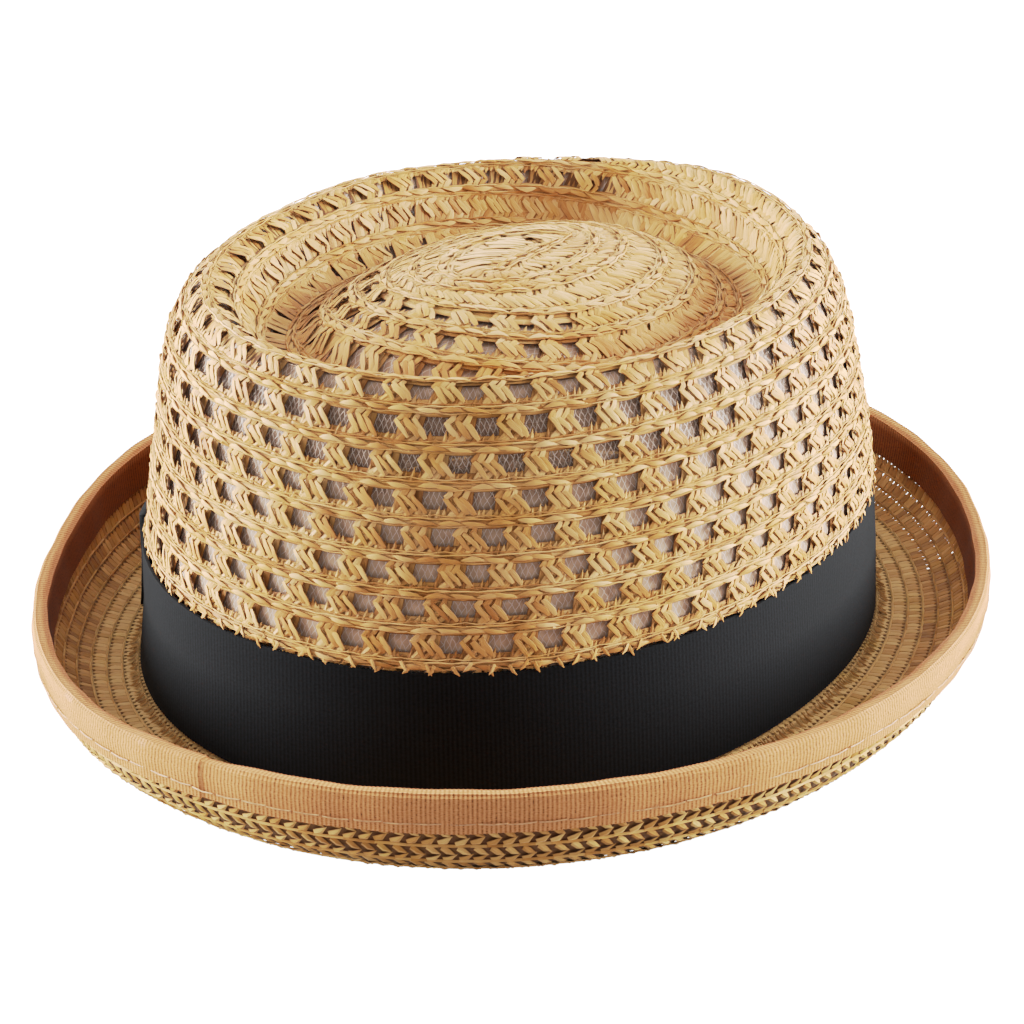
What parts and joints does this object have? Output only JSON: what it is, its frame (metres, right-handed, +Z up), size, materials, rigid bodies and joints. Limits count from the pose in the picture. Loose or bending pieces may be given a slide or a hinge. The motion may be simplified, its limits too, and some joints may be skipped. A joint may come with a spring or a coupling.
{
  "type": "straw pork pie hat",
  "caption": "Openwork straw pork pie hat with a raised crown rim, a turned-up brim bound in ribbon, a black hat band and a flat side bow.",
  "frame": {"origin": "on the surface the hat rests on, under the middle of its bounding box", "axes": "+Z up, +Y to the back of the hat, -Y to the front, +X to the wearer's left, where the bow is"},
  "size_m": [0.2342, 0.266, 0.0991],
  "materials": {
    "straw": "dry paper straw braid",
    "net": "fine matt net",
    "tan_ribbon": "ribbed grosgrain",
    "black_ribbon": "ribbed grosgrain"
  },
  "bodies": {
    "root": {"crown": "straw", "net_lining": "net", "brim": "straw", "brim_binding": "tan_ribbon", "hat_band": "black_ribbon", "band_bow": "black_ribbon", "bow_knot": "black_ribbon"}
  },
  "joints": []
}
